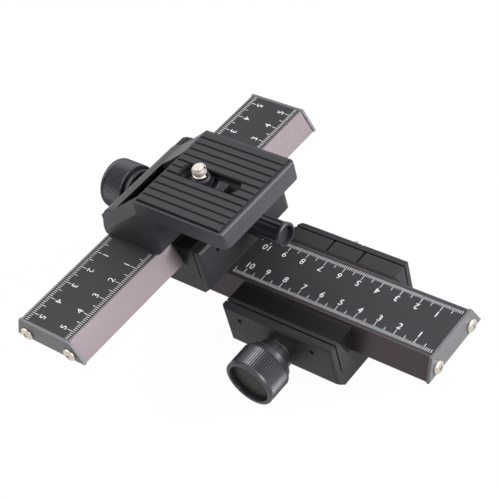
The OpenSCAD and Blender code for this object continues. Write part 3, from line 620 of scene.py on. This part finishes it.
for carriage, body in (("lower", "rail_lower"), ("upper", "rail_upper")):
    lo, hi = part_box(f"{carriage}_cap_screws")
    along = 0 if carriage == "lower" else 1
    spots = []
    for end in (-1, 1):
        for side in (-1, 1):
            point = [0, 0, (lo.z + hi.z) / 2]
            point[along] = (hi if end > 0 else lo)[along] - end * HEAD_TOP_MM * MM
            point[1 - along] = (hi if side > 0 else lo)[1 - along] - side * HEAD_R_MM * MM
            spin = 25 * side + 40 * end
            tilt = Matrix.Rotation(math.radians(90 * end), 3, "Y") if along == 0 else \
                Matrix.Rotation(math.radians(-90 * end), 3, "X")
            angles = (tilt @ Matrix.Rotation(math.radians(spin), 3, "Z")).to_euler()
            spots.append((point, angles))
    heads = grow(f"{carriage}_cap_screw_heads", setter, {"Thing": head, "Material": nickel},
                 base=points_mesh(spots))
    settle(heads, body, "bright_steel", f"{carriage}_cap_screws")
bpy.data.objects.remove(head)

# %% [markdown]
# ## The camera screw
# The quarter-inch camera screw has twenty threads to the inch, 1.27 mm apart. A thread is a
# ridge that winds up a core, so Geometry Nodes sweep a small square, set on its edge, along
# a spiral and stand it round a turned core with a chamfered end. The shank below the pad is
# smooth and blackened.

# %% The tree that winds a thread
winder, given = new_tree("wound_thread", {"Radius": "Float", "Height": "Float", "Turns": "Float",
                                          "Ridge": "Float", "Low": "Float", "Material": "Material"})
spiral = add(winder, "GeometryNodeCurveSpiral", {"Resolution": 40, "Rotations": given["Turns"],
                                                 "Start Radius": given["Radius"],
                                                 "End Radius": given["Radius"],
                                                 "Height": given["Height"]})
section = add(winder, "GeometryNodeCurvePrimitiveCircle", {"Resolution": 4,
                                                           "Radius": given["Ridge"]})
swept = add(winder, "GeometryNodeCurveToMesh", {0: spiral.outputs[0], 1: section.outputs[0],
                                                2: True})
lifted = add(winder, "ShaderNodeCombineXYZ", {2: given["Low"]})
wound = add(winder, "GeometryNodeTransform", {0: swept.outputs[0],
                                              "Translation": lifted.outputs[0]})
thread_all = add(winder, "GeometryNodeJoinGeometry", {0: given["Geometry"]})
winder.links.new(wound.outputs[0], thread_all.inputs[0])
end_tree(winder, thread_all.outputs[0], given["Material"])

# %% The stud over the pad
PITCH_MM = 1.27
CORE_MM, RIDGE_AT_MM, RIDGE_MM = 2.35, 2.6, 0.55       # radii: core, ridge's middle, ridge
SHANK_MM = 2.8
stud_lo, stud_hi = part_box("camera_screw")
stud_foot = Matrix.Translation(((stud_lo.x + stud_hi.x) / 2, (stud_lo.y + stud_hi.y) / 2,
                                stud_lo.z))
stud_height = (stud_hi.z - stud_lo.z) / MM
pad_top = (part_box("pad")[1].z - stud_lo.z) / MM
core = [(0, pad_top - 0.1), (CORE_MM, pad_top - 0.1), (CORE_MM, stud_height - 0.35),
        (2.0, stud_height), (0, stud_height)]
wound_mm = stud_height - pad_top - 0.9
stud = grow("camera_screw_threaded", winder,
            {"Radius": RIDGE_AT_MM * MM, "Height": wound_mm * MM, "Turns": wound_mm / PITCH_MM,
             "Ridge": RIDGE_MM * MM, "Low": (pad_top + 0.1) * MM, "Material": screw_steel},
            base=lathe(core, 64), place=stud_foot)
settle(stud, "camera_screw", "bright_steel", "camera_screw")
shank_mesh = lathe([(0, 0), (SHANK_MM, 0), (SHANK_MM, pad_top - 0.12), (0, pad_top - 0.12)], 48,
                   black_oxide)
shank_mesh.transform(stud_foot)
shade(shank_mesh)
shank = bpy.data.objects.new("camera_screw_shank", shank_mesh)
bpy.context.scene.collection.objects.link(shank)
settle(shank, "camera_screw", "dark_steel")
print("camera screw", round(wound_mm / PITCH_MM, 2), "turns")

# %% [markdown]
# ## Studio
# The photograph is a cut-out on white, lit softly from the right, so the faces that look to
# the right are a clear grey and those that look to the front are nearly black. A black part
# shows what it reflects, so large soft panels do more than strong lamps: one to the right,
# a weak one above, and one to the left that lifts the pad and the scales. The floor is
# white, and for the camera it is mostly a plain white emission, so the object's shadow
# stays only as a breath of grey.

# %% Floor and world
FLOOR_GLOW = 0.975     # the rest of the floor is lit, and keeps the shadow
SOFT_LIGHT = 0.2       # the world's light on the object


def area_light(name, place, aim, size, power):
    """A soft rectangular panel that faces aim."""
    data = bpy.data.lights.new(name, "AREA")
    data.shape = "RECTANGLE"
    data.size, data.size_y = size
    data.energy = power
    light = bpy.data.objects.new(name, data)
    light.location = place
    light.rotation_euler = (Vector(aim) - Vector(place)).to_track_quat("-Z", "Y").to_euler()
    bpy.context.scene.collection.objects.link(light)


def seen_as_white(tree, share):
    """share for the rays of the camera, of mirrors and of glass, and 0 for those that light."""
    path = add(tree, "ShaderNodeLightPath")
    either = add(tree, "ShaderNodeMath",
                 {0: path.outputs["Is Camera Ray"], 1: path.outputs["Is Glossy Ray"]},
                 operation="MAXIMUM")
    any_of = add(tree, "ShaderNodeMath",
                 {0: either.outputs[0], 1: path.outputs["Is Transmission Ray"]},
                 operation="MAXIMUM")
    return add(tree, "ShaderNodeMath", {0: any_of.outputs[0], 1: share},
               operation="MULTIPLY").outputs[0]


def white_floor():
    """A white floor just under the object."""
    material = bpy.data.materials.new("white_floor")
    material.use_nodes = True
    tree = material.node_tree
    tree.nodes.clear()
    white = add(tree, "ShaderNodeBsdfDiffuse", {"Color": linear("#f2f2f2")})
    glow = add(tree, "ShaderNodeEmission", {"Color": linear("#ffffff"), "Strength": 1.0})
    mix = add(tree, "ShaderNodeMixShader", {0: seen_as_white(tree, FLOOR_GLOW),
                                            1: white.outputs[0], 2: glow.outputs[0]})
    add(tree, "ShaderNodeOutputMaterial", {0: mix.outputs[0]})
    mesh = bpy.data.meshes.new("floor")
    reach, under = 3.0, -0.0005
    mesh.from_pydata([(-reach, -reach, under), (reach, -reach, under), (reach, reach, under),
                      (-reach, reach, under)], [], [(0, 1, 2, 3)])
    mesh.materials.append(material)
    floor = bpy.data.objects.new("floor", mesh)
    bpy.context.scene.collection.objects.link(floor)


def white_world(strength):
    """A world that lights softly and is seen as plain white."""
    world = bpy.data.worlds.new("studio")
    bpy.context.scene.world = world
    world.use_nodes = True
    tree = world.node_tree
    tree.nodes.clear()
    soft = add(tree, "ShaderNodeBackground", {"Color": linear("#ffffff"), "Strength": strength})
    seen = add(tree, "ShaderNodeBackground", {"Color": linear("#ffffff"), "Strength": 1.0})
    mix = add(tree, "ShaderNodeMixShader", {0: seen_as_white(tree, 1.0), 1: soft.outputs[0],
                                            2: seen.outputs[0]})
    add(tree, "ShaderNodeOutputWorld", {0: mix.outputs[0]})


white_floor()
white_world(SOFT_LIGHT)
middle = Vector((0, 0, 0.045))
area_light("right_panel", (0.52, 0.2, 0.34), middle, (0.7, 0.3), 9.5)
area_light("top_panel", (-0.05, 0.25, 0.7), middle, (0.5, 0.5), 1.0)
area_light("left_panel", (-0.4, -0.12, 0.55), middle, (0.6, 0.6), 3.0)

# %% [markdown]
# ## Camera
# The scale marks on the two rails are known to a millimetre, and their places in the
# photograph fix where the camera stood: 0.63 m from the tripod thread, 42 degrees above the
# horizon, turned 49 degrees to the right and rolled by 16 degrees.

# %% The camera of the photograph
AZIMUTH, ELEVATION, ROLL = 49.46, 42.27, -16.45
FOCAL_PX, SENSOR_MM, FRAME_PX = 1407.88, 36.0, 500
azimuth, elevation = math.radians(AZIMUTH), math.radians(ELEVATION)
back = Vector((math.sin(azimuth) * math.cos(elevation), -math.cos(azimuth) * math.cos(elevation),
               math.sin(elevation)))
lens = bpy.data.cameras.new("camera")
lens.sensor_width = SENSOR_MM
lens.lens = FOCAL_PX * SENSOR_MM / FRAME_PX
lens.clip_start, lens.clip_end = 0.05, 20
camera = bpy.data.objects.new("camera", lens)
camera.location = (0.31682, -0.3019, 0.45495)
camera.rotation_mode = "QUATERNION"
camera.rotation_quaternion = (-back).to_track_quat("-Z", "Y") @ Matrix.Rotation(
    math.radians(ROLL), 3, "Z").to_quaternion()
bpy.context.scene.collection.objects.link(camera)
bpy.context.scene.camera = camera
bpy.context.scene.view_settings.view_transform = "Standard"
